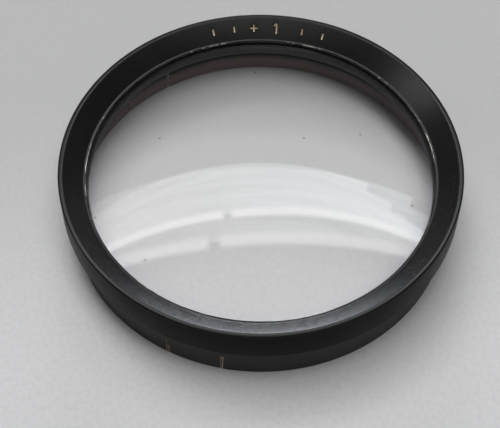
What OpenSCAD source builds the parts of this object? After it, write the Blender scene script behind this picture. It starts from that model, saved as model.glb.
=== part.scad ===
// Slip-on close-up lens: a black lacquered brass cell holds a weak positive meniscus, which a
// slotted retaining ring clamps from behind. A slit spring collar is screwed on the cell's skirt
// and slips over the front of a camera lens barrel.
// Origin: on the optical axis at the collar's mouth. +Z points out of the front, to the subject.
// -Y is the side of the first spring tongue, and the engraved power mark is at +Y.

/* [Barrel fit] */
// Diameter of the lens barrel that the collar slips over
barrel_d = 49; // [36:0.5:72]
// Radial play between the collar's bore and the barrel
barrel_play = 0.05; // [0.02:0.01:0.15]

/* [Spring collar] */
// Height of the collar that shows below the cell
collar_h = 6; // [5:0.1:12]
// Wall of the collar
collar_wall = 0.8; // [0.7:0.05:1.5]
// Wall that is left outside the thread at the collar's top
collar_thread_wall = 0.35; // [0.25:0.05:0.5]
// Length of the thread between the collar and the cell's skirt
collar_thread_h = 1.1; // [0.8:0.1:2]

/* [Spring tongues] */
// Height of the tongues, from the mouth to their roots
tongue_h = 3; // [1.5:0.1:3.5]
// Angle between the two slits of one tongue
tongue_span = 16.5; // [8:0.5:30]
// Width of a slit
slit_w = 0.35; // [0.2:0.05:0.8]
// Turn of the first tongue about the optical axis, from -Y towards +X
first_tongue_at = -19.5; // [-60:0.5:60]
// Height of the turned groove that thins the tongues' roots, centred on them
root_groove_h = 0.5; // [0.3:0.1:1]
// Wall that is left outside the root groove
root_wall = 0.4; // [0.3:0.05:0.6]

/* [Lens cell] */
// How far the cell stands out past the collar
step_w = 1.15; // [0.6:0.05:3]
// Height of the cell's outer band
cell_h = 4.65; // [4.2:0.05:8]
// Width of the flat land on the front rim
land_w = 0.65; // [0.3:0.05:1.2]
// Depth of the inner cone, from the rim to its foot
cone_depth = 1.9; // [1:0.05:3]
// Width of the small flat at the cone's foot
foot_w = 0.3; // [0.1:0.05:0.8]
// Thickness of the lip that the glass rests against
lip_t = 0.35; // [0.25:0.05:0.8]
// Wall of the skirt between its inner and outer threads
skirt_wall = 0.75; // [0.5:0.05:1.5]

/* [Glass] */
// Focal length of the glass
focal_length = 1000; // [250:5:2000]
// Radius of the convex front face
front_radius = 125; // [100:1:200]
// Refractive index of the glass
glass_index = 1.523; // [1.45:0.001:1.8]
// Thickness of the glass at its ground edge
lens_edge = 1.45; // [1:0.05:2.5]
// Overlap of the cell's lip over the glass
lip_lap = 0.79; // [0.4:0.01:1.5]
// Radial play of the glass in its seat
lens_play = 0.06; // [0.03:0.01:0.15]
// Bevel on the glass's two edges
lens_bevel = 0.2; // [0.1:0.05:0.4]

/* [Retaining ring] */
// Height of the ring
retainer_h = 1.2; // [0.8:0.05:2]
// How much further in than the lip the ring reaches
retainer_reach = 0.3; // [0:0.05:1]
// Radial play of the ring in its thread
thread_play = 0.05; // [0.03:0.01:0.1]
// Width of the two spanner notches
notch_w = 1.5; // [0.8:0.1:3]
// Depth of the two spanner notches
notch_d = 0.6; // [0.3:0.05:0.8]

/* [Engraving] */
// Width of an engraved stroke
stroke_w = 0.22; // [0.1:0.01:0.5]
// Depth of an engraved stroke
stroke_d = 0.12; // [0.05:0.01:0.2]
// Height of the engraved figures, along the cone
figure_h = 1.5; // [0.8:0.1:2]

/* [Hidden] */
$fn = 180;
arc_fn = 1440;          // the glass's long radii need a fine circle
seat_gap = 0.04;        // a hair of air where the glass meets metal
part_gap = 0.05;        // a hair of air between a tongue and the collar
thread_step = 0.3;      // step from the glass's seat out to the retaining thread
thread_run_out = 0.15;  // how far the retaining thread runs above its ring
edge_break = 0.15;      // broken edge on turned corners
rim_break = 0.25;       // larger break on the cell's outer corners
mouth_break = 0.2;      // lead-in at the collar's mouth
cut = 1;                // how far a cutter runs past a face
tongue_count = 3;

// radii, from the barrel outwards and then inwards
bore_r = barrel_d / 2 + barrel_play;
collar_r = bore_r + collar_wall;
rim_r = collar_r + step_w;
skirt_r = collar_r - collar_thread_wall - seat_gap;
thread_r = skirt_r - skirt_wall;
seat_r = thread_r - thread_step;
lens_r = seat_r - lens_play;
lip_r = lens_r - lip_lap;
foot_r = lip_r + foot_w;
cone_r = rim_r - land_w;
retainer_r = thread_r - thread_play;
retainer_in_r = lip_r - retainer_reach;
groove_r = collar_r - root_wall;

// heights, from the mouth up and from the rim down
step_z = collar_h;
rim_z = collar_h + cell_h;
foot_z = rim_z - cone_depth;
lip_z = foot_z - lip_t;
skirt_z = step_z - collar_thread_h;
groove_z = tongue_h - root_groove_h / 2;

// the glass: its rear radius gives the focal length
rear_radius = 1 / (1 / front_radius - 1 / (focal_length * (glass_index - 1)));
lens_top_z = lip_z - seat_gap + sag(front_radius, lip_r);
lens_front_edge_z = lens_top_z - sag(front_radius, lens_r);
lens_back_edge_z = lens_front_edge_z - lens_edge;
lens_rear_z = lens_back_edge_z + sag(rear_radius, lens_r);
retainer_z = lens_back_edge_z - seat_gap;
seat_end_z = retainer_z + thread_run_out;

// the cone's slope, and the engraving's places on it in degrees from +Y
cone_slope = atan2(rim_z - foot_z, cone_r - foot_r);
figure_r = (cone_r + foot_r) / 2;
figure_z = (rim_z + foot_z) / 2;
tick_at = [15.5, 8.5, -14, -21];
plus_at = 2;
one_at = -5.5;
tick_h = figure_h * 0.6;

function sag(radius, r) = radius - sqrt(radius * radius - r * r);
function tongue_at(i) = first_tongue_at + i * 360 / tongue_count;

// puts its children at the middle of the cone, with Y up the slope and Z out of the metal;
// angles run from +Y towards -X
module on_cone(at) {
    rotate([0, 0, at]) translate([0, figure_r, figure_z]) rotate([cone_slope, 0, 0]) children();
}

module stroke(w, h) {
    cube([w, h, 2 * stroke_d], center = true);
}

module engraving() {
    for (at = tick_at) on_cone(at) stroke(stroke_w, tick_h);
    on_cone(plus_at) {
        stroke(stroke_w, figure_h * 0.7);
        stroke(figure_h * 0.7, stroke_w);
    }
    on_cone(one_at) {
        stroke(stroke_w, figure_h);
        translate([-stroke_w, figure_h * 0.36, 0]) rotate([0, 0, -45]) stroke(stroke_w, figure_h * 0.35);
    }
}

// turned brass cell: outer band, inner cone, lip, glass seat and threaded skirt
module lens_cell() {
    color([0.05, 0.05, 0.055])
    difference() {
        rotate_extrude() polygon([
            [lip_r, lip_z], [lip_r, foot_z], [foot_r, foot_z],
            [cone_r, rim_z], [rim_r - rim_break, rim_z], [rim_r, rim_z - rim_break],
            [rim_r, step_z + rim_break], [rim_r - rim_break, step_z],
            [skirt_r, step_z], [skirt_r, skirt_z + edge_break], [skirt_r - edge_break, skirt_z],
            [thread_r + edge_break, skirt_z], [thread_r, skirt_z + edge_break],
            [thread_r, seat_end_z], [seat_r, seat_end_z], [seat_r, lip_z]
        ]);
        engraving();
    }
}

// meniscus of crown glass with a ground edge
module lens_element() {
    color([0.85, 0.9, 0.92, 0.35])
    rotate_extrude() difference() {
        intersection() {
            polygon([
                [0, lens_back_edge_z], [lens_r - lens_bevel, lens_back_edge_z],
                [lens_r, lens_back_edge_z + lens_bevel], [lens_r, lens_front_edge_z - lens_bevel],
                [lens_r - lens_bevel - cut, lens_front_edge_z + cut], [0, lens_top_z + cut]
            ]);
            translate([0, lens_top_z - front_radius]) circle(front_radius, $fn = arc_fn);
        }
        translate([0, lens_rear_z - rear_radius]) circle(rear_radius, $fn = arc_fn);
    }
}

// threaded ring with two notches for a pin spanner in its rear face
module retaining_ring() {
    ring_z = retainer_z - retainer_h;
    color([0.07, 0.07, 0.075])
    difference() {
        rotate_extrude() polygon([
            [retainer_in_r, retainer_z], [retainer_r - edge_break, retainer_z],
            [retainer_r, retainer_z - edge_break], [retainer_r, ring_z + edge_break],
            [retainer_r - edge_break, ring_z], [retainer_in_r + edge_break, ring_z],
            [retainer_in_r, ring_z + edge_break]
        ]);
        for (side = [0, 180]) rotate([0, 0, side])
            translate([retainer_in_r - cut, -notch_w / 2, ring_z - cut])
                cube([retainer_r - retainer_in_r + 2 * cut, notch_w, notch_d + cut]);
    }
}

// half section of the collar, with the groove that thins the tongues' roots
module collar_section() {
    difference() {
        polygon([
            [bore_r, skirt_z - seat_gap], [bore_r, mouth_break], [bore_r + mouth_break, 0],
            [collar_r - edge_break, 0], [collar_r, edge_break], [collar_r, step_z],
            [skirt_r + seat_gap, step_z], [skirt_r + seat_gap, skirt_z - seat_gap]
        ]);
        translate([bore_r - cut, groove_z]) square([groove_r - bore_r + cut, root_groove_h]);
    }
}

// band across the collar's wall, between two heights
module wall_band(low_z, high_z) {
    translate([bore_r - cut, low_z]) square([collar_wall + 2 * cut, high_z - low_z]);
}

// part turn about the axis, centred on one tongue
module tongue_turn(i, turn) {
    rotate([0, 0, tongue_at(i) - 90 - turn / 2]) rotate_extrude(angle = turn) children();
}

// thin spring sleeve, with a window for each tongue
module spring_collar() {
    window = tongue_span + slit_angle();
    color([0.11, 0.11, 0.115])
    difference() {
        rotate_extrude() collar_section();
        for (i = [0 : tongue_count - 1]) tongue_turn(i, window) wall_band(-cut, tongue_h);
    }
}

// angle that a slit takes up at the collar's bore
function slit_angle() = slit_w / bore_r * 180 / PI;

// one tongue: the wall between two slits, which bends outwards at its root
module spring_tongue(i) {
    color([0.13, 0.13, 0.135])
    tongue_turn(i, tongue_span - slit_angle()) intersection() {
        collar_section();
        wall_band(part_gap, tongue_h - part_gap);
    }
}

module spring_tongue_1() { spring_tongue(0); }
module spring_tongue_2() { spring_tongue(1); }
module spring_tongue_3() { spring_tongue(2); }

lens_cell();
lens_element();
retaining_ring();
spring_collar();
spring_tongue_1();
spring_tongue_2();
spring_tongue_3();
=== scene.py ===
import math

import bmesh
import bpy
from mathutils import Matrix, Vector


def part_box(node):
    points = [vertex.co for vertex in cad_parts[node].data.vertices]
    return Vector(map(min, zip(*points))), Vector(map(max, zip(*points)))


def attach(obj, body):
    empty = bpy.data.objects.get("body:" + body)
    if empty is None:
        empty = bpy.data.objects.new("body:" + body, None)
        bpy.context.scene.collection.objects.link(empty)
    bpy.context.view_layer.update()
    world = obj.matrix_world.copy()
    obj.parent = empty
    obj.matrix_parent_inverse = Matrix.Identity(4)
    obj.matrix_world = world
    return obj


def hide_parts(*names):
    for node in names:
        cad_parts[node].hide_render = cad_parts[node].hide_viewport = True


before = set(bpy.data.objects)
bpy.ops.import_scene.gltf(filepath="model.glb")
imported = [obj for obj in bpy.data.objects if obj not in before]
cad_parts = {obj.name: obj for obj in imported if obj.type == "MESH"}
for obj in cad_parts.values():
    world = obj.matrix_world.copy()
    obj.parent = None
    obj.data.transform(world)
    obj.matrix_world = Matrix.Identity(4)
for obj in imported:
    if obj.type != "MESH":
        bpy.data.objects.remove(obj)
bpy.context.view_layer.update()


# ---- Lens cell ----
# The cell is one turning in brass: an outer band, a sloping inner cone, a thin lip and a skirt
# threaded inside and out. It is lacquered black all over, and the power mark is engraved through
# the lacquer into the metal.
mm = 0.001
cell_low, cell_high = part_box("lens_cell")
collar_low, collar_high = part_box("spring_collar")
glass_low, glass_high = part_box("lens_element")
land_width = 0.65 * mm
cone_depth = 1.9 * mm
foot_width = 0.3 * mm
lip_lap = 0.79 * mm
lip_thickness = 0.35 * mm
skirt_wall = 0.75 * mm
thread_step = 0.3 * mm
thread_pitch = 0.5 * mm
thread_depth = 0.16 * mm
thread_run_out = 0.15 * mm
collar_thread_wall = 0.35 * mm
seat_gap = 0.04 * mm
facets = 360

collar_radius = collar_high.x
rim_radius = cell_high.x
cone_top = rim_radius - land_width
lip_radius = glass_high.x - lip_lap
cone_foot = lip_radius + foot_width
skirt_radius = collar_radius - collar_thread_wall - seat_gap
inner_thread = skirt_radius - skirt_wall
seat_radius = inner_thread - thread_step
rim_height = cell_high.z
foot_height = rim_height - cone_depth
lip_height = foot_height - lip_thickness
seat_end = glass_low.z - seat_gap + thread_run_out
skirt_end = cell_low.z
step_height = collar_high.z


def turn_on_lathe(name, outline, facets):
    """A closed ring turned to an outline of (radius, height) corners."""
    bpy.ops.object.select_all(action="DESELECT")
    radius, height = outline[0]
    bpy.ops.mesh.primitive_circle_add(vertices=facets, radius=radius, location=(0, 0, height))
    ring = bpy.context.active_object
    ring.name = name
    bpy.ops.object.transform_apply(location=True, rotation=True, scale=True)
    bpy.ops.object.mode_set(mode="EDIT")
    bpy.ops.mesh.select_all(action="SELECT")
    for next_radius, next_height in outline[1:]:
        grow = next_radius / radius
        rise = (0, 0, next_height - height)
        bpy.ops.mesh.extrude_edges_move(TRANSFORM_OT_translate={"value": rise})
        bpy.ops.transform.resize(value=(grow, grow, 1), center_override=(0, 0, 0))
        radius, height = next_radius, next_height
    bpy.ops.mesh.select_all(action="DESELECT")
    bpy.ops.mesh.select_non_manifold()
    bpy.ops.mesh.bridge_edge_loops()
    bpy.ops.mesh.select_all(action="SELECT")
    bpy.ops.mesh.normals_make_consistent(inside=False)
    bpy.ops.object.mode_set(mode="OBJECT")
    return ring


def pick_edges(piece, wanted):
    """In edit mode, selects the edges whose two ends both pass the wanted test."""
    bpy.ops.mesh.select_mode(type="EDGE")
    bpy.ops.mesh.select_all(action="DESELECT")
    mesh = bmesh.from_edit_mesh(piece.data)
    for edge in mesh.edges:
        edge.select_set(all(wanted(end.co) for end in edge.verts))
    bmesh.update_edit_mesh(piece.data)


def break_corner(piece, radius, height, size, steps):
    """Rounds the turned corner that lies at this radius and height."""
    slack = 0.004 * mm

    def on_corner(co):
        return abs(co.xy.length - radius) < slack and abs(co.z - height) < slack

    bpy.ops.object.mode_set(mode="EDIT")
    pick_edges(piece, on_corner)
    bpy.ops.mesh.bevel(offset=size, segments=steps, affect="EDGES")
    bpy.ops.object.mode_set(mode="OBJECT")


def thread_teeth(crest, root, low, high):
    """Corners of a V thread between two heights, listed upwards. It is a stack of V grooves."""
    half_groove = 0.2 * thread_pitch
    teeth = []
    for turn in range(int((high - low) / thread_pitch)):
        middle = low + (turn + 0.5) * thread_pitch
        teeth.append((crest, middle - half_groove))
        teeth.append((root, middle))
        teeth.append((crest, middle + half_groove))
    return teeth


def cut_away(piece, cutter):
    """Takes the cutter's shape out of the piece; the cut faces keep the cutter's material."""
    bpy.ops.object.select_all(action="DESELECT")
    bpy.context.view_layer.objects.active = piece
    piece.select_set(True)
    cut = piece.modifiers.new("cut", "BOOLEAN")
    cut.operation = "DIFFERENCE"
    cut.solver = "EXACT"
    cut.material_mode = "TRANSFER"
    cut.object = cutter
    bpy.ops.object.modifier_apply(modifier=cut.name)
    bpy.data.objects.remove(cutter)


outer_teeth = thread_teeth(skirt_radius, skirt_radius - thread_depth, skirt_end, step_height)
inner_teeth = thread_teeth(inner_thread, inner_thread + thread_depth, skirt_end, seat_end)
cell = turn_on_lathe("lens_cell_turning", [
    (lip_radius, lip_height),
    (lip_radius, foot_height),
    (cone_foot, foot_height),
    (cone_top, rim_height),
    (rim_radius, rim_height),
    (rim_radius, step_height),
    (skirt_radius, step_height),
    *reversed(outer_teeth),
    (skirt_radius, skirt_end),
    (inner_thread, skirt_end),
    *inner_teeth,
    (inner_thread, seat_end),
    (seat_radius, seat_end),
    (seat_radius, lip_height),
], facets)
break_corner(cell, rim_radius, rim_height, size=0.25 * mm, steps=5)
break_corner(cell, rim_radius, step_height, size=0.22 * mm, steps=4)
break_corner(cell, cone_top, rim_height, size=0.12 * mm, steps=4)
break_corner(cell, lip_radius, foot_height, size=0.06 * mm, steps=2)
break_corner(cell, lip_radius, lip_height, size=0.05 * mm, steps=2)
break_corner(cell, skirt_radius, skirt_end, size=0.08 * mm, steps=2)
break_corner(cell, inner_thread, skirt_end, size=0.08 * mm, steps=2)


def feed(tree, node, inputs):
    """Gives each of the node's inputs its value, or the socket that feeds it."""
    for name, value in inputs.items():
        if isinstance(value, bpy.types.NodeSocket):
            tree.links.new(value, node.inputs[name])
        else:
            node.inputs[name].default_value = value


def place(tree, kind, settings, inputs):
    """Puts a node in the tree."""
    made = tree.nodes.new(kind)
    for name, value in settings.items():
        setattr(made, name, value)
    feed(tree, made, inputs)
    return made


def sum_of(tree, operation, first, second):
    """One step of arithmetic."""
    return place(tree, "ShaderNodeMath", {"operation": operation}, {0: first, 1: second}).outputs[0]


def fade(tree, value, start, end):
    """Runs smoothly from 0 at start to 1 at end."""
    return place(tree, "ShaderNodeMapRange", {"interpolation_type": "SMOOTHSTEP"}, {
        "Value": value, "From Min": start, "From Max": end,
    }).outputs[0]


def grain(tree, vector, scale, detail=3.0):
    """Soft uneven noise around one half."""
    return place(tree, "ShaderNodeTexNoise", {}, {
        "Vector": vector, "Scale": scale, "Detail": detail, "Roughness": 0.6,
    }).outputs[0]


def tinted(tree, share, first, second):
    """A colour between two others."""
    return place(tree, "ShaderNodeMix", {"data_type": "RGBA"}, {
        0: share, 6: first, 7: second,
    }).outputs[2]


def between(tree, share, first, second):
    """A number between two others."""
    return place(tree, "ShaderNodeMapRange", {}, {
        "Value": share, "To Min": first, "To Max": second,
    }).outputs[0]


def spot_on_piece(tree):
    return tree.nodes.new("ShaderNodeTexCoord").outputs["Object"]


def off_axis(tree, spot):
    """The spot's direction across the axis, its distance from the axis, and its height."""
    parts = place(tree, "ShaderNodeSeparateXYZ", {}, {0: spot}).outputs
    across = place(tree, "ShaderNodeCombineXYZ", {}, {0: parts[0], 1: parts[1]}).outputs[0]
    radius = place(tree, "ShaderNodeVectorMath", {"operation": "LENGTH"}, {0: across}).outputs[1]
    return across, radius, parts[2]


def new_group(name, inputs, outputs):
    """An empty shader group with number inputs and outputs."""
    tree = bpy.data.node_groups.new(name, "ShaderNodeTree")
    for label, value in inputs.items():
        socket = tree.interface.new_socket(label, in_out="INPUT", socket_type="NodeSocketFloat")
        socket.default_value = value
    for label in outputs:
        tree.interface.new_socket(label, in_out="OUTPUT", socket_type="NodeSocketFloat")
    given = tree.nodes.new("NodeGroupInput")
    result = tree.nodes.new("NodeGroupOutput")
    return tree, given.outputs, result.inputs


def make_worn_edge():
    """Where handling has rubbed one turned edge down to metal, in patches and chips."""
    tree, given, result = new_group(
        "worn edge",
        {"Edge Radius": rim_radius, "Edge Height": rim_height, "Reach": 0.2 * mm, "Cover": 0.5,
         "Chip Scale": 900},
        ["Wear"],
    )
    patch_share = 1.2
    edge_share = 0.9
    whole = 2.35
    spot = spot_on_piece(tree)
    _, radius, height = off_axis(tree, spot)
    off_radius = sum_of(tree, "SUBTRACT", radius, given["Edge Radius"])
    off_height = sum_of(tree, "SUBTRACT", height, given["Edge Height"])
    away = place(tree, "ShaderNodeCombineXYZ", {}, {0: off_radius, 1: off_height}).outputs[0]
    distance = place(tree, "ShaderNodeVectorMath", {"operation": "LENGTH"}, {0: away}).outputs[1]
    closeness = sum_of(tree, "SUBTRACT", 1.0, sum_of(tree, "DIVIDE", distance, given["Reach"]))
    chips = grain(tree, spot, given["Chip Scale"], 5.0)
    patches = grain(tree, spot, 110.0, 2.0)
    rough_line = sum_of(tree, "ADD", chips, sum_of(tree, "MULTIPLY", patches, patch_share))
    bite = sum_of(tree, "ADD", rough_line, sum_of(tree, "MULTIPLY", closeness, edge_share))
    needed = sum_of(tree, "SUBTRACT", whole, given["Cover"])
    bare = fade(tree, bite, needed, sum_of(tree, "ADD", needed, 0.08))
    near = fade(tree, closeness, 0.0, 0.15)
    tree.links.new(sum_of(tree, "MULTIPLY", bare, near), result["Wear"])
    return tree


def make_turning_marks():
    """Fine rings that the lathe tool leaves, the same all the way round."""
    tree, given, result = new_group("turning marks", {"Fineness": 9000}, ["Height"])
    _, radius, height = off_axis(tree, spot_on_piece(tree))
    section = place(tree, "ShaderNodeCombineXYZ", {}, {0: radius, 1: height}).outputs[0]
    rings = place(tree, "ShaderNodeTexNoise", {"noise_dimensions": "2D"}, {
        "Vector": section, "Scale": given["Fineness"], "Detail": 2.0,
    }).outputs[0]
    tree.links.new(rings, result["Height"])
    return tree


def make_dust_and_scuffs():
    """Specks of dust that have settled, and short fine scratches."""
    tree, given, result = new_group(
        "dust and scuffs", {"Dust": 0.5, "Speck Scale": 2600}, ["Dust", "Scratch", "Cloud"],
    )
    spot = spot_on_piece(tree)
    specks = place(tree, "ShaderNodeTexVoronoi", {}, {
        "Vector": spot, "Scale": given["Speck Scale"], "Randomness": 1.0,
    })
    largest = sum_of(tree, "MULTIPLY", given["Dust"], 0.42)
    size = sum_of(tree, "MULTIPLY", grain(tree, spot, 400.0), largest)
    dust = fade(tree, specks.outputs["Distance"], size, sum_of(tree, "MULTIPLY", size, 0.6))
    tree.links.new(dust, result["Dust"])
    stretched = place(tree, "ShaderNodeMapping", {}, {
        "Vector": spot, "Rotation": (0.5, 0.3, 0.9), "Scale": (300, 9000, 2600),
    }).outputs[0]
    lines = grain(tree, stretched, 1.0, 2.0)
    where = fade(tree, grain(tree, spot, 160.0), 0.52, 0.66)
    scratch = sum_of(tree, "MULTIPLY", fade(tree, lines, 0.67, 0.74), where)
    tree.links.new(scratch, result["Scratch"])
    tree.links.new(grain(tree, spot, 190.0, 4.0), result["Cloud"])
    return tree


worn_edge = make_worn_edge()
turning_marks = make_turning_marks()
dust_and_scuffs = make_dust_and_scuffs()


def use_group(tree, group, inputs):
    return place(tree, "ShaderNodeGroup", {"node_tree": group}, inputs).outputs


def new_finish(name):
    """An empty material with its Principled shader."""
    finish = bpy.data.materials.new(name)
    finish.use_nodes = True
    tree = finish.node_tree
    return finish, tree, tree.nodes["Principled BSDF"]


def bumped(tree, height, distance, strength):
    return place(tree, "ShaderNodeBump", {}, {
        "Height": height, "Distance": distance, "Strength": strength,
    }).outputs[0]


def make_bare_brass():
    """Brass where the lacquer has been cut or rubbed through, dulled unevenly by air and hands."""
    finish, tree, shader = new_finish("bare brass")
    scuffs = use_group(tree, dust_and_scuffs, {"Dust": 0.3, "Speck Scale": 3000})
    colour = tinted(tree, fade(tree, scuffs["Cloud"], 0.35, 0.65),
                    (0.86, 0.74, 0.56, 1), (0.56, 0.44, 0.28, 1))
    feed(tree, shader, {
        "Base Color": tinted(tree, scuffs["Dust"], colour, (0.12, 0.1, 0.08, 1)),
        "Metallic": 0.5,
        "Roughness": between(tree, scuffs["Cloud"], 0.24, 0.5),
        "Normal": bumped(tree, use_group(tree, turning_marks, {})["Height"], 0.004 * mm, 0.5),
    })
    return finish


def make_cell_lacquer(name, shine, smoothest, roughest):
    """Black lacquer, with the lathe's rings just showing and its edges chipped through."""
    finish, tree, shader = new_finish(name)
    scuffs = use_group(tree, dust_and_scuffs, {"Dust": 0.34, "Speck Scale": 2200})
    rings = use_group(tree, turning_marks, {"Fineness": 7000})["Height"]
    lip_chips_with_painted_glint = use_group(tree, worn_edge, {
        "Edge Radius": lip_radius, "Edge Height": foot_height,
        "Reach": 0.32 * mm, "Cover": 0.39, "Chip Scale": 1100,
    })["Wear"]
    rim_wear = use_group(tree, worn_edge, {
        "Edge Radius": rim_radius, "Edge Height": rim_height,
        "Reach": 0.3 * mm, "Cover": 0.2, "Chip Scale": 1600,
    })["Wear"]
    step_wear = use_group(tree, worn_edge, {
        "Edge Radius": rim_radius, "Edge Height": step_height,
        "Reach": 0.3 * mm, "Cover": 0.18, "Chip Scale": 1500,
    })["Wear"]
    outer_wear = sum_of(tree, "MAXIMUM", rim_wear, step_wear)
    wear = sum_of(tree, "MAXIMUM", lip_chips_with_painted_glint, outer_wear)
    black = tinted(tree, scuffs["Cloud"], (0.0016, 0.0017, 0.0019, 1), (0.0042, 0.0041, 0.004, 1))
    dusty = tinted(tree, sum_of(tree, "MULTIPLY", scuffs["Dust"], 0.5), black, (0.16, 0.16, 0.15, 1))
    scratches = sum_of(tree, "MULTIPLY", scuffs["Scratch"], 0.5)
    scratched = tinted(tree, scratches, dusty, (0.07, 0.065, 0.06, 1))
    # Painted glint: chipped-through metal gets a pale colour and is only half metallic, so real chips
    # show bright without a mirrored light.
    metal = tinted(tree, scuffs["Cloud"], (0.66, 0.63, 0.58, 1), (0.45, 0.39, 0.3, 1))
    gloss = between(tree, scuffs["Cloud"], smoothest, roughest)
    feed(tree, shader, {
        "Base Color": tinted(tree, wear, scratched, metal),
        "Metallic": sum_of(tree, "MULTIPLY", wear, 0.5),
        "Roughness": sum_of(tree, "ADD", gloss, sum_of(tree, "MULTIPLY", scuffs["Scratch"], 0.2)),
        "Normal": bumped(tree, rings, 0.003 * mm, 0.35),
        "Specular IOR Level": shine,
    })
    return finish


def paint_cell():
    """Three copies of the lacquer: the band's is rougher with painted shade, the cone's has painted
    sheen.
    """
    plain = make_cell_lacquer("cell lacquer", shine=0.36, smoothest=0.12, roughest=0.26)
    # Painted shade: the band's copy reflects almost nothing, which darkens the band.
    band_painted_shade = make_cell_lacquer("band lacquer with painted shade", shine=0.05, smoothest=0.3, roughest=0.5)
    # Painted sheen: the cone's copy reflects more strongly than the rest, which brightens the cone.
    cone = make_cell_lacquer("cone lacquer with painted sheen", shine=0.8, smoothest=0.2, roughest=0.34)
    for finish in (plain, band_painted_shade, cone):
        cell.data.materials.append(finish)
    band_skin = 0.02 * mm
    for face in cell.data.polygons:
        out = face.center.xy.length
        if out > rim_radius - band_skin and abs(face.normal.z) < 0.2:
            face.material_index = 1
        if cone_foot < out < cone_top and face.center.z > foot_height:
            face.material_index = 2


paint_cell()
bare_brass = make_bare_brass()

# The marks are cut with a small round-nosed tool: four ticks, a plus sign and the figure one,
# spread along the far side of the cone as a dioptre scale would be.
stroke_width = 0.22 * mm
figure_size = 1.5 * mm
tick_length = figure_size * 0.6
plus_length = figure_size * 0.7
flag_length = figure_size * 0.35
flag_up = figure_size * 0.36
tick_turns = (15.5, 8.5, -14.0, -21.0)
plus_turn = math.radians(2.0)
one_turn = math.radians(-5.5)
mark_radius = (cone_top + cone_foot) / 2
mark_height = (rim_height + foot_height) / 2
cone_slope = math.atan2(rim_height - foot_height, cone_top - cone_foot)


def engrave(turn_from_back, length, lean=0.0, up=0.0, side=0.0):
    """Cuts one stroke into the cone, leaned over and moved up the slope or sideways."""
    bpy.ops.object.select_all(action="DESELECT")
    bpy.ops.mesh.primitive_cylinder_add(vertices=10, radius=stroke_width / 2, depth=length)
    tool = bpy.context.active_object
    bpy.ops.object.mode_set(mode="EDIT")
    bpy.ops.mesh.select_mode(type="FACE")
    bpy.ops.mesh.select_all(action="DESELECT")
    mesh = bmesh.from_edit_mesh(tool.data)
    for face in mesh.faces:
        face.select_set(abs(face.normal.z) > 0.9)
    bmesh.update_edit_mesh(tool.data)
    bpy.ops.mesh.bevel(offset=stroke_width * 0.3, segments=2, affect="EDGES")
    bpy.ops.object.mode_set(mode="OBJECT")
    tool.matrix_world = (
        Matrix.Rotation(turn_from_back, 4, "Z")
        @ Matrix.Translation((0, mark_radius, mark_height))
        @ Matrix.Rotation(cone_slope, 4, "X")
        @ Matrix.Translation((side, up, 0))
        @ Matrix.Rotation(lean, 4, "Z")
        @ Matrix.Rotation(math.pi / 2, 4, "X")
    )
    bpy.ops.object.transform_apply(location=True, rotation=True, scale=True)
    tool.data.materials.append(bare_brass)
    cut_away(cell, tool)


for tick_turn in tick_turns:
    engrave(math.radians(tick_turn), tick_length)
engrave(plus_turn, plus_length)
engrave(plus_turn, plus_length, lean=math.pi / 2)
engrave(one_turn, figure_size)
engrave(one_turn, flag_length, lean=-math.pi / 4, up=flag_up, side=-stroke_width)

# The cuts leave some corners a hair apart, which are merged.
bpy.ops.object.mode_set(mode="EDIT")
bpy.ops.mesh.select_all(action="SELECT")
bpy.ops.mesh.remove_doubles(threshold=0.0008 * mm)
bpy.ops.mesh.dissolve_degenerate(threshold=0.0002 * mm)
bpy.ops.object.mode_set(mode="OBJECT")


def smooth_turning(piece):
    """Rounds and cones look smooth, and corners stay crisp."""
    bpy.ops.object.select_all(action="DESELECT")
    bpy.context.view_layer.objects.active = piece
    piece.select_set(True)
    bpy.ops.object.shade_smooth_by_angle(angle=math.radians(32))


smooth_turning(cell)
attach(cell, "mount")
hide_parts("lens_cell")


# ---- Glass ----
# The glass is a weak positive meniscus of crown glass. Its two faces are polished, and its edge
# is ground and bevelled so that it doesn't chip in its seat.
glass_radius = glass_high.x
glass_front_curve = 125 * mm
glass_index = 1.523
focal_length = 1000 * mm
glass_rear_curve = 1 / (1 / glass_front_curve - 1 / (focal_length * (glass_index - 1)))
glass_bevel = 0.2 * mm
glass_rings = 22
glass_facets = 180


def sag(curve, radius):
    """How far a face of this curve has fallen at this radius."""
    return curve - math.sqrt(curve * curve - radius * radius)


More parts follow.
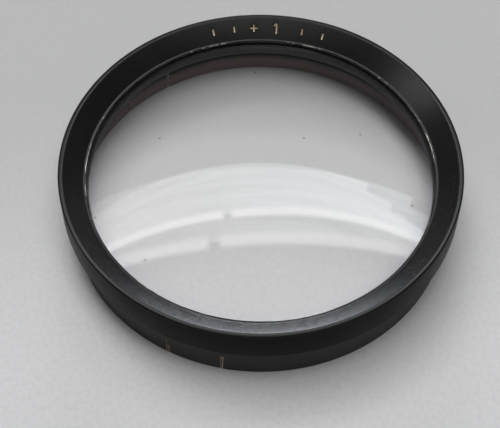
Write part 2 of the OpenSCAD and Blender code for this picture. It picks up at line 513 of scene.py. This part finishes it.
def make_glass():
    """The meniscus, grown ring by ring from the middle of its front face round to its rear."""
    front_top = glass_high.z
    rear_top = glass_low.z + sag(glass_rear_curve, glass_radius)
    rear_share = 0.998
    polished = glass_radius - glass_bevel
    first = polished / glass_rings
    bpy.ops.object.select_all(action="DESELECT")
    bpy.ops.mesh.primitive_circle_add(
        vertices=glass_facets, radius=first, fill_type="TRIFAN",
        location=(0, 0, front_top - sag(glass_front_curve, first)),
    )
    glass = bpy.context.active_object
    glass.name = "glass_meniscus"
    bpy.ops.object.transform_apply(location=True, rotation=True, scale=True)
    bpy.ops.object.mode_set(mode="EDIT")
    bpy.ops.mesh.select_mode(type="VERT")
    bpy.ops.mesh.select_all(action="DESELECT")
    mesh = bmesh.from_edit_mesh(glass.data)
    for corner in mesh.verts:
        corner.select_set(corner.co.xy.length < first / 2)
    bmesh.update_edit_mesh(glass.data)
    bpy.ops.transform.translate(value=(0, 0, sag(glass_front_curve, first)))
    bpy.ops.mesh.select_all(action="DESELECT")
    bpy.ops.mesh.select_non_manifold()
    outline = []
    for step in range(2, glass_rings + 1):
        out = polished * step / glass_rings
        outline.append((out, front_top - sag(glass_front_curve, out)))
    front_edge = outline[-1][1]
    outline.append((glass_radius, front_edge - glass_bevel))
    outline.append((glass_radius, glass_low.z + glass_bevel))
    outline.append((polished, glass_low.z))
    for step in range(glass_rings, 0, -1):
        out = polished * step / glass_rings * rear_share
        outline.append((out, rear_top - sag(glass_rear_curve, out)))
    radius, height = first, front_top - sag(glass_front_curve, first)
    for next_radius, next_height in outline:
        grow = next_radius / radius
        rise = (0, 0, next_height - height)
        bpy.ops.mesh.extrude_edges_move(TRANSFORM_OT_translate={"value": rise})
        bpy.ops.transform.resize(value=(grow, grow, 1), center_override=(0, 0, 0))
        radius, height = next_radius, next_height
    bpy.ops.mesh.extrude_edges_move(TRANSFORM_OT_translate={"value": (0, 0, rear_top - height)})
    bpy.ops.mesh.merge(type="CENTER")
    bpy.ops.mesh.select_all(action="SELECT")
    bpy.ops.mesh.normals_make_consistent(inside=False)
    bpy.ops.object.mode_set(mode="OBJECT")
    return glass


def make_crown_glass():
    """Polished crown glass with a painted cool fringe round its rim, a few specks of dust and a wiped
    haze.

    Light goes straight through it to the pieces and the table behind.
    """
    finish, tree, shader = new_finish("crown glass")
    spot = spot_on_piece(tree)
    across, radius, _ = off_axis(tree, spot)
    # Painted reflection: a faint cool tint round the rim stands in for the coloured fringe of light at
    # the glass's edge.
    painted_fringe_share = fade(tree, radius, 20.5 * mm, 23.2 * mm)
    clear = tinted(tree, painted_fringe_share, (1.0, 1.0, 1.0, 1), (0.95, 0.945, 0.99, 1))
    specks = place(tree, "ShaderNodeTexVoronoi", {"voronoi_dimensions": "2D"}, {
        "Vector": across, "Scale": 150.0, "Randomness": 1.0,
    })
    lucky = place(tree, "ShaderNodeSeparateColor", {}, {0: specks.outputs["Color"]}).outputs[0]
    chosen = fade(tree, lucky, 0.72, 0.74)
    speck = sum_of(tree, "MULTIPLY", fade(tree, specks.outputs["Distance"], 0.026, 0.016), chosen)
    inside = tree.nodes.new("ShaderNodeNewGeometry").outputs["Backfacing"]
    speck = sum_of(tree, "MULTIPLY", speck, sum_of(tree, "SUBTRACT", 1.0, inside))
    feed(tree, shader, {
        "Base Color": tinted(tree, sum_of(tree, "MULTIPLY", speck, 0.8), clear, (0.1, 0.09, 0.08, 1)),
        "Roughness": between(tree, fade(tree, grain(tree, spot, 120.0), 0.5, 0.8), 0.0, 0.03),
        "Metallic": 0.0,
        "IOR": glass_index,
        "Transmission Weight": 1.0,
    })
    clear_shadow = place(tree, "ShaderNodeBsdfTransparent", {}, {"Color": (1.0, 1.0, 1.0, 1)})
    path = tree.nodes.new("ShaderNodeLightPath").outputs
    passing = sum_of(tree, "MAXIMUM", path["Is Shadow Ray"], path["Is Diffuse Ray"])
    shown = place(tree, "ShaderNodeMixShader", {}, {
        0: passing, 1: shader.outputs[0], 2: clear_shadow.outputs[0],
    })
    tree.links.new(shown.outputs[0], tree.nodes["Material Output"].inputs["Surface"])
    return finish


def make_ground_edge():
    """The glass's edge, ground to a fine frost and inked black so that it doesn't glare."""
    finish, tree, shader = new_finish("ground glass edge")
    scuffs = use_group(tree, dust_and_scuffs, {"Dust": 0.5, "Speck Scale": 3200})
    feed(tree, shader, {
        "Base Color": tinted(tree, scuffs["Cloud"], (0.008, 0.008, 0.009, 1), (0.025, 0.025, 0.026, 1)),
        "Roughness": between(tree, scuffs["Cloud"], 0.5, 0.75),
        "Normal": bumped(tree, scuffs["Dust"], 0.01 * mm, 0.6),
    })
    return finish


glass = make_glass()
glass.data.materials.append(make_crown_glass())
glass.data.materials.append(make_ground_edge())
for face in glass.data.polygons:
    if face.center.xy.length > glass_radius - glass_bevel:
        face.material_index = 1
smooth_turning(glass)
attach(glass, "glass")
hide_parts("lens_element")


# ---- Retaining ring ----
# A thin brass ring, blackened matt so that it doesn't glare into the glass. It screws into the
# skirt from behind with a pin spanner in its two notches.
ring_low, ring_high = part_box("retaining_ring")
ring_outer = ring_high.x
ring_reach = 0.3 * mm
ring_inner = lip_radius - ring_reach
ring_thread_start = ring_low.z + 0.1 * mm
notch_width = 1.5 * mm
notch_depth = 0.6 * mm
notch_length = 3 * mm

ring_teeth = thread_teeth(ring_outer, ring_outer - thread_depth, ring_thread_start, ring_high.z)
ring = turn_on_lathe("retaining_ring_turning", [
    (ring_inner, ring_low.z),
    (ring_inner, ring_high.z),
    (ring_outer, ring_high.z),
    *reversed(ring_teeth),
    (ring_outer, ring_low.z),
], facets)
break_corner(ring, ring_inner, ring_low.z, size=0.12 * mm, steps=3)
break_corner(ring, ring_outer, ring_low.z, size=0.1 * mm, steps=2)
break_corner(ring, ring_inner, ring_high.z, size=0.05 * mm, steps=2)


def make_ring_black():
    """Chemical black on brass, matt and slightly brown, worn where the spanner bites."""
    finish, tree, shader = new_finish("ring black")
    scuffs = use_group(tree, dust_and_scuffs, {"Dust": 0.4, "Speck Scale": 2600})
    rings = use_group(tree, turning_marks, {"Fineness": 6000})["Height"]
    edge_wear = use_group(tree, worn_edge, {
        "Edge Radius": ring_inner, "Edge Height": ring_low.z,
        "Reach": 0.25 * mm, "Cover": 0.4, "Chip Scale": 1500,
    })["Wear"]
    black = tinted(tree, scuffs["Cloud"], (0.01, 0.01, 0.011, 1), (0.021, 0.019, 0.018, 1))
    dusty = tinted(tree, sum_of(tree, "MULTIPLY", scuffs["Dust"], 0.5), black, (0.2, 0.19, 0.18, 1))
    feed(tree, shader, {
        "Base Color": tinted(tree, edge_wear, dusty, (0.5, 0.37, 0.2, 1)),
        "Metallic": edge_wear,
        "Roughness": between(tree, scuffs["Cloud"], 0.5, 0.68),
        "Normal": bumped(tree, rings, 0.006 * mm, 0.5),
    })
    return finish


ring.data.materials.append(make_ring_black())
for side in (-1, 1):
    bpy.ops.object.select_all(action="DESELECT")
    middle = side * (ring_inner + ring_outer) / 2
    bpy.ops.mesh.primitive_cube_add(size=1, location=(middle, 0, ring_low.z))
    notch = bpy.context.active_object
    notch.scale = (notch_length, notch_width, 2 * notch_depth)
    bpy.ops.object.transform_apply(location=True, rotation=True, scale=True)
    bpy.ops.object.mode_set(mode="EDIT")
    pick_edges(notch, lambda co: co.z > ring_low.z)
    bpy.ops.mesh.bevel(offset=0.08 * mm, segments=2, affect="EDGES")
    bpy.ops.object.mode_set(mode="OBJECT")
    notch.data.materials.append(bare_brass)
    cut_away(ring, notch)
smooth_turning(ring)
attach(ring, "ring")
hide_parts("retaining_ring")


# ---- Spring collar ----
# A thin brass sleeve, screwed on the cell's skirt, that slips over the front of a lens barrel.
# A groove turned inside it thins the roots of three tongues, and six saw slits free their sides.
collar_wall = 0.8 * mm
root_wall = 0.4 * mm
root_groove_height = 0.5 * mm
tongue_root = 3.0 * mm
mouth_lead = 0.2 * mm
mouth_break = 0.15 * mm
collar_thread_depth = 0.12 * mm
slit_width = 0.35 * mm
tongue_count = 3
tongue_angle = math.radians(16.5)
first_tongue = math.radians(-109.5)

bore_radius = collar_radius - collar_wall
groove_radius = collar_radius - root_wall
groove_low = tongue_root - root_groove_height / 2
groove_high = tongue_root + root_groove_height / 2
mouth_height = collar_low.z
collar_thread = skirt_radius + seat_gap
collar_thread_root = collar_thread + collar_thread_depth
collar_thread_end = skirt_end - seat_gap
slit_angle = slit_width / bore_radius
# The saw was thin, so the slits are drawn narrower than in the CAD solids.
shown_slit = 0.6 * slit_angle

collar_teeth = thread_teeth(collar_thread, collar_thread_root, collar_thread_end, step_height)
collar = turn_on_lathe("spring_collar_sleeve", [
    (bore_radius, collar_thread_end),
    (bore_radius, groove_high),
    (groove_radius, groove_high),
    (groove_radius, groove_low),
    (bore_radius, groove_low),
    (bore_radius, mouth_height + mouth_lead),
    (bore_radius + mouth_lead, mouth_height),
    (collar_radius, mouth_height),
    (collar_radius, step_height),
    (collar_thread, step_height),
    *reversed(collar_teeth),
    (collar_thread, collar_thread_end),
], facets)
break_corner(collar, collar_radius, mouth_height, size=mouth_break, steps=4)
break_corner(collar, bore_radius, groove_high, size=0.04 * mm, steps=2)
break_corner(collar, bore_radius, groove_low, size=0.04 * mm, steps=2)
break_corner(collar, bore_radius, collar_thread_end, size=0.1 * mm, steps=2)


def make_worn_bore():
    """Where sliding over a barrel has thinned the lacquer low in the bore, softly and unevenly."""
    tree, given, result = new_group(
        "worn bore", {"Bore Radius": bore_radius, "Top": tongue_root}, ["Wear"],
    )
    spot = spot_on_piece(tree)
    _, radius, height = off_axis(tree, spot)
    inside = fade(tree, sum_of(tree, "SUBTRACT", radius, given["Bore Radius"]), 0.2 * mm, 0.1 * mm)
    patches = grain(tree, spot, 90.0, 3.0)
    ragged = sum_of(tree, "ADD", height, sum_of(tree, "MULTIPLY", patches, 2.4 * mm))
    low = fade(tree, sum_of(tree, "SUBTRACT", ragged, given["Top"]), 1.4 * mm, -0.4 * mm)
    tree.links.new(sum_of(tree, "MULTIPLY", low, inside), result["Wear"])
    return tree


def make_worn_slits():
    """Bright lines where the edges of the saw slits have lost their lacquer."""
    tree, given, result = new_group("worn slits", {"Reach": 0.2 * mm}, ["Wear"])
    spot = spot_on_piece(tree)
    turned = place(tree, "ShaderNodeVectorRotate", {"rotation_type": "Z_AXIS"}, {
        "Vector": spot, "Angle": -first_tongue,
    }).outputs[0]
    parts = place(tree, "ShaderNodeSeparateXYZ", {}, {0: turned}).outputs
    height = parts[2]
    angle = sum_of(tree, "ARCTAN2", parts[1], parts[0])
    third = place(tree, "ShaderNodeMath", {"operation": "WRAP"}, {
        0: angle, 1: math.pi / tongue_count, 2: -math.pi / tongue_count,
    }).outputs[0]
    off_slit = sum_of(tree, "SUBTRACT", sum_of(tree, "ABSOLUTE", third, 0.0), tongue_angle / 2)
    gap = sum_of(tree, "MULTIPLY", sum_of(tree, "ABSOLUTE", off_slit, 0.0), collar_radius)
    half_slit = slit_angle / 2 * collar_radius
    outer = sum_of(tree, "ADD", given["Reach"], half_slit)
    near = fade(tree, gap, outer, half_slit)
    low = fade(tree, height, tongue_root + 0.2 * mm, tongue_root)
    chips = fade(tree, grain(tree, spot, 1500.0, 4.0), 0.46, 0.58)
    edge = fade(tree, sum_of(tree, "MULTIPLY", near, low), 0.35, 0.6)
    tree.links.new(sum_of(tree, "MULTIPLY", edge, chips), result["Wear"])
    return tree


worn_bore = make_worn_bore()
worn_slits = make_worn_slits()


def make_collar_lacquer():
    """The same lacquer, worn more by handling: greyer outside, brown in the bore, and bare at the
    slits.
    """
    finish, tree, shader = new_finish("collar lacquer")
    scuffs = use_group(tree, dust_and_scuffs, {"Dust": 0.4, "Speck Scale": 2400})
    rings = use_group(tree, turning_marks, {"Fineness": 5000})["Height"]
    bore_wear = use_group(tree, worn_bore, {"Bore Radius": bore_radius, "Top": tongue_root})["Wear"]
    slit_wear = use_group(tree, worn_slits, {"Reach": 0.07 * mm})["Wear"]
    mouth_wear = use_group(tree, worn_edge, {
        "Edge Radius": collar_radius, "Edge Height": mouth_height,
        "Reach": 0.3 * mm, "Cover": 0.25, "Chip Scale": 1400,
    })["Wear"]
    lead_wear = use_group(tree, worn_edge, {
        "Edge Radius": bore_radius + mouth_lead / 2, "Edge Height": mouth_height + mouth_lead / 2,
        "Reach": 0.35 * mm, "Cover": 0.4, "Chip Scale": 1000,
    })["Wear"]
    wear = sum_of(tree, "MAXIMUM", sum_of(tree, "MAXIMUM", slit_wear, mouth_wear), lead_wear)
    black = tinted(tree, scuffs["Cloud"], (0.008, 0.008, 0.0085, 1), (0.018, 0.017, 0.016, 1))
    dusty = tinted(tree, sum_of(tree, "MULTIPLY", scuffs["Dust"], 0.6), black, (0.2, 0.19, 0.17, 1))
    scratches = sum_of(tree, "MULTIPLY", scuffs["Scratch"], 0.5)
    scratched = tinted(tree, scratches, dusty, (0.1, 0.09, 0.075, 1))
    rubbed = tinted(tree, bore_wear, scratched, (0.15, 0.105, 0.1, 1))
    brass = tinted(tree, scuffs["Cloud"], (0.56, 0.42, 0.25, 1), (0.36, 0.26, 0.15, 1))
    feed(tree, shader, {
        "Base Color": tinted(tree, wear, rubbed, brass),
        "Metallic": wear,
        "Roughness": between(tree, scuffs["Cloud"], 0.34, 0.56),
        "Normal": bumped(tree, rings, 0.004 * mm, 0.45),
        "Specular IOR Level": 0.27,
    })
    return finish


collar_lacquer = make_collar_lacquer()
collar.data.materials.append(collar_lacquer)


def turned_sector(name, outline, middle, turn):
    """The part of a turned ring that lies between two planes through the axis."""
    piece = turn_on_lathe(name, outline, facets)
    bpy.ops.object.mode_set(mode="EDIT")
    for side in (-1, 1):
        angle = middle + side * turn / 2
        bpy.ops.mesh.select_all(action="SELECT")
        bpy.ops.mesh.bisect(
            plane_co=(0, 0, 0), plane_no=(-math.sin(angle), math.cos(angle), 0),
            use_fill=True, clear_inner=side < 0, clear_outer=side > 0, threshold=0.0005 * mm,
        )
    bpy.ops.mesh.select_all(action="SELECT")
    bpy.ops.mesh.normals_make_consistent(inside=False)
    bpy.ops.object.mode_set(mode="OBJECT")
    return piece


cutter_run = 1 * mm
for number in range(tongue_count):
    middle = first_tongue + number * 2 * math.pi / tongue_count
    window = turned_sector("window_cutter", [
        (bore_radius - cutter_run, mouth_height - cutter_run),
        (collar_radius + cutter_run, mouth_height - cutter_run),
        (collar_radius + cutter_run, tongue_root),
        (bore_radius - cutter_run, tongue_root),
    ], middle, tongue_angle + shown_slit)
    window.data.materials.append(collar_lacquer)
    cut_away(collar, window)
smooth_turning(collar)
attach(collar, "mount")
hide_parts("spring_collar")


# ---- Spring tongues ----
# Three tongues are left between the pairs of slits, each of one piece with the real sleeve. A
# tongue bends outwards at its thinned root and grips the barrel, and its end is rounded with a
# file so that the collar starts easily.
hair = 0.05 * mm
root_air = 0.006 * mm
round_in = 0.05 * mm
round_up = 0.04 * mm
tongue_end = mouth_height + hair
for number in range(tongue_count):
    middle = first_tongue + number * 2 * math.pi / tongue_count
    tongue = turned_sector("spring_tongue_%d_strip" % (number + 1), [
        (bore_radius, tongue_end + mouth_lead),
        (bore_radius + mouth_lead, tongue_end),
        (collar_radius - mouth_break, tongue_end),
        (collar_radius - round_in, tongue_end + round_up),
        (collar_radius, tongue_end + mouth_break),
        (collar_radius, tongue_root - root_air),
        (groove_radius, tongue_root - hair),
        (groove_radius, groove_low),
        (bore_radius, groove_low),
    ], middle, tongue_angle - shown_slit)
    tongue.data.materials.append(collar_lacquer)
    smooth_turning(tongue)
    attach(tongue, "tongue_%d" % (number + 1))
    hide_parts("spring_tongue_%d" % (number + 1))


# ---- Table ----
# A plain pale table top with a faint unevenness, and painted light that makes it lighter towards
# the near side. It is solid from above only, so that the lens can also be looked at from below.
table_radius = 3.0
far_painted_light_ends = 22 * mm
near_painted_light_starts = -28 * mm
bpy.ops.object.select_all(action="DESELECT")
bpy.ops.mesh.primitive_circle_add(
    vertices=96, radius=table_radius, fill_type="NGON", location=(0, 0, mouth_height),
)
table = bpy.context.active_object
table.name = "table_top"
bpy.ops.object.transform_apply(location=True, rotation=True, scale=True)


def make_table_top():
    """Painted board with short fibres in the paint, made lighter towards the near side by painted
    light.
    """
    finish, tree, shader = new_finish("table top")
    spot = spot_on_piece(tree)
    parts = place(tree, "ShaderNodeSeparateXYZ", {}, {0: spot}).outputs
    cloud = grain(tree, spot, 14.0, 4.0)
    fine = grain(tree, spot, 900.0, 3.0)
    tone = tinted(tree, cloud, (0.42, 0.42, 0.418, 1), (0.44, 0.44, 0.438, 1))
    # Painted light: the colour turns lighter towards the near side, as if more light fell there.
    near_light_share = fade(tree, parts[1], far_painted_light_ends, near_painted_light_starts)
    painted_near_light = tinted(tree, near_light_share, tone, (0.55, 0.55, 0.555, 1))
    fibres = sum_of(tree, "MULTIPLY", fade(tree, grain(tree, spot, 1500.0, 2.0), 0.42, 0.66), 0.16)
    feed(tree, shader, {
        "Base Color": tinted(tree, fibres, painted_near_light, (0.36, 0.36, 0.36, 1)),
        "Roughness": 0.75,
        "Normal": bumped(tree, fine, 0.07 * mm, 0.5),
        "Specular IOR Level": 0.2,
    })
    back = tree.nodes.new("ShaderNodeNewGeometry").outputs["Backfacing"]
    nothing = tree.nodes.new("ShaderNodeBsdfTransparent").outputs[0]
    shown = place(tree, "ShaderNodeMixShader", {}, {0: back, 1: shader.outputs[0], 2: nothing})
    tree.links.new(shown.outputs[0], tree.nodes["Material Output"].inputs["Surface"])
    return finish


table.data.materials.append(make_table_top())


# ---- Camera ----
# It looks down on the front of the lens from the side of the first spring tongue.
look_down = math.radians(54.74)
camera_place = (-1.415 * mm, -103.706 * mm, 145.395 * mm)
camera_data = bpy.data.cameras.new("camera")
camera_data.lens = 93.6
camera_data.sensor_width = 36
camera_data.clip_start = 0.005
camera = bpy.data.objects.new("camera", camera_data)
camera.matrix_world = (
    Matrix.Translation(camera_place)
    @ Matrix.Rotation(math.pi / 2 - look_down, 4, "X")
)
bpy.context.scene.collection.objects.link(camera)
bpy.context.scene.camera = camera


# ---- Light ----
# One large soft panel hangs above the lens. The room is dim, with a narrow bright pane low on the
# far side, which the near part of the cone mirrors. High above it is a wide window with a pale
# head and one post, which shows in the glass once from each of its faces.
def hang_panel(name, centre, width, height, strength):
    """A soft lamp that faces the lens, as bright as its strength, and doesn't mirror in it."""
    lamp = bpy.data.lights.new(name, "AREA")
    lamp.shape = "RECTANGLE"
    lamp.size = width
    lamp.size_y = height
    lamp.energy = strength * math.pi * width * height
    panel = bpy.data.objects.new(name, lamp)
    panel.location = centre
    panel.rotation_mode = "QUATERNION"
    panel.rotation_quaternion = (-Vector(centre)).to_track_quat("-Z", "Y")
    panel.visible_camera = False
    panel.visible_glossy = False
    panel.visible_transmission = False
    bpy.context.scene.collection.objects.link(panel)


hang_panel("overhead", centre=(-0.05, 0.08, 1.5), width=0.6, height=2.1, strength=5.2)


def make_room():
    """The room by direction: turn goes round from the far side to the right, climb goes up."""
    world = bpy.data.worlds.new("room")
    world.use_nodes = True
    tree = world.node_tree
    heading = tree.nodes.new("ShaderNodeTexCoord").outputs["Generated"]
    parts = place(tree, "ShaderNodeSeparateXYZ", {}, {0: heading}).outputs
    turn = sum_of(tree, "MULTIPLY", sum_of(tree, "ARCTAN2", parts[0], parts[1]), 180 / math.pi)
    climb = sum_of(tree, "MULTIPLY", sum_of(tree, "ARCSINE", parts[2], 0.0), 180 / math.pi)

    def arch(top, middle, fall):
        """A height in degrees that falls away on both sides of its middle."""
        off = sum_of(tree, "SUBTRACT", turn, middle)
        drop = sum_of(tree, "MULTIPLY", sum_of(tree, "MULTIPLY", off, off), fall)
        return sum_of(tree, "SUBTRACT", top, drop)

    def within(value, low, high, soft):
        """1 between two values, with soft ends."""
        above = fade(tree, sum_of(tree, "SUBTRACT", value, low), -soft, soft)
        below = fade(tree, sum_of(tree, "SUBTRACT", high, value), -soft, soft)
        return sum_of(tree, "MULTIPLY", above, below)

    def patch(low, high, soft_climb, left, right, soft_turn):
        """A soft-edged stretch of the room between two climbs and two turns."""
        rows = within(climb, low, high, soft_climb)
        return sum_of(tree, "MULTIPLY", rows, within(turn, left, right, soft_turn))

    lower_pane = patch(low=5.0, high=24.0, soft_climb=4.0, left=-8.0, right=8.0, soft_turn=7.0)
    wall_below = patch(low=46.5, high=56.0, soft_climb=2.0, left=-42.0, right=42.0, soft_turn=9.0)
    side_wall = patch(low=36.0, high=50.0, soft_climb=3.0, left=-91.0, right=-70.0, soft_turn=5.0)
    low_sky = fade(tree, climb, 20.0, 10.0)
    ceiling = fade(tree, climb, 60.0, 66.0)

    sill = arch(top=52.65, middle=-3.0, fall=0.0009)
    sill_steps = sum_of(tree, "ADD", fade(tree, turn, 25.8, 26.4), fade(tree, turn, 33.0, 34.0))
    sill = sum_of(tree, "ADD", sill, sum_of(tree, "MULTIPLY", sill_steps, 1.4))
    head = arch(top=61.8, middle=-5.0, fall=0.0028)
    half_head = 0.75
    head_low = sum_of(tree, "SUBTRACT", head, half_head)
    head_high = sum_of(tree, "ADD", head, half_head)
    sides = within(turn, -52.0, 48.0, 2.0)
    upper_pane = sum_of(tree, "MULTIPLY", within(climb, sill, head, 0.25), sides)
    beside_post = sum_of(tree, "SUBTRACT", 1.0, within(turn, -10.6, -8.0, 0.8))
    window_head = sum_of(tree, "MULTIPLY", within(climb, head_low, head_high, 0.5), sides)
    window_head = sum_of(tree, "MULTIPLY", window_head, beside_post)

    daylight = tinted(tree, fade(tree, turn, -40.0, 35.0), (2.7, 2.7, 2.66, 1), (3.5, 3.62, 3.78, 1))
    along_pane = place(tree, "ShaderNodeCombineXYZ", {}, {
        0: sum_of(tree, "MULTIPLY", turn, 0.025), 1: sum_of(tree, "MULTIPLY", climb, 0.9),
    }).outputs[0]
    streaks = fade(tree, grain(tree, along_pane, 1.0, 3.0), 0.42, 0.66)
    dulled = tinted(tree, sum_of(tree, "MULTIPLY", streaks, 0.3), daylight, (0.9, 0.92, 0.95, 1))

    light = tinted(tree, low_sky, (0.075, 0.075, 0.08, 1), (0.18, 0.18, 0.185, 1))
    light = tinted(tree, ceiling, light, (0.75, 0.75, 0.74, 1))
    light = tinted(tree, wall_below, light, (0.95, 0.96, 0.98, 1))
    light = tinted(tree, side_wall, light, (1.2, 1.2, 1.22, 1))
    light = tinted(tree, lower_pane, light, (9.0, 9.4, 10.2, 1))
    light = tinted(tree, upper_pane, light, dulled)
    light = tinted(tree, window_head, light, (4.9, 4.85, 4.7, 1))

    # What is seen past the lens, or straight through it, is a plain grey.
    path = tree.nodes.new("ShaderNodeLightPath").outputs
    unmirrored = sum_of(tree, "LESS_THAN", path["Glossy Depth"], 0.5)
    straight_through = sum_of(tree, "MULTIPLY", path["Is Transmission Ray"], unmirrored)
    seen = sum_of(tree, "MAXIMUM", path["Is Camera Ray"], straight_through)
    shown = tinted(tree, seen, light, (0.5, 0.5, 0.5, 1))
    feed(tree, tree.nodes["Background"], {"Color": shown})
    return world


bpy.context.scene.world = make_room()
bpy.context.scene.view_settings.view_transform = "Standard"
